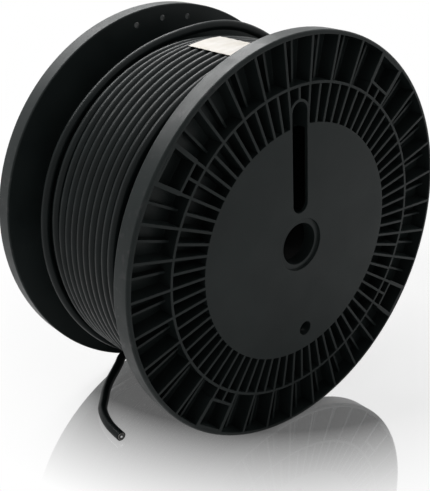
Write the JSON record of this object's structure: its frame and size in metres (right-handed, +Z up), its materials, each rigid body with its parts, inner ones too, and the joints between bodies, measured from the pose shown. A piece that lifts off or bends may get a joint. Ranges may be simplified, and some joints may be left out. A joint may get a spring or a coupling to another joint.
{
  "type": "plastic cable drum with cable",
  "caption": "Black moulded plastic cable drum with ribbed flanges and a hollow barrel, wound with round black cable, one end hanging loose.",
  "frame": {"origin": "floor point under the middle of the drum, midway between the flanges", "axes": "+Z up, +Y along the axle from the front flange to the back flange, +X to the right seen from the front"},
  "size_m": [0.4, 0.222, 0.4],
  "materials": {
    "drum_plastic": "satin moulded black",
    "barrel_plastic": "plain extruded black",
    "cable_jacket": "soft satin black jacket",
    "label_paper": "bare white label stock"
  },
  "bodies": {
    "root": {"front_flange": "drum_plastic", "back_flange": "drum_plastic", "barrel": "barrel_plastic", "cable_winding": "cable_jacket", "cable_tail": "cable_jacket", "label": "label_paper"}
  },
  "joints": []
}
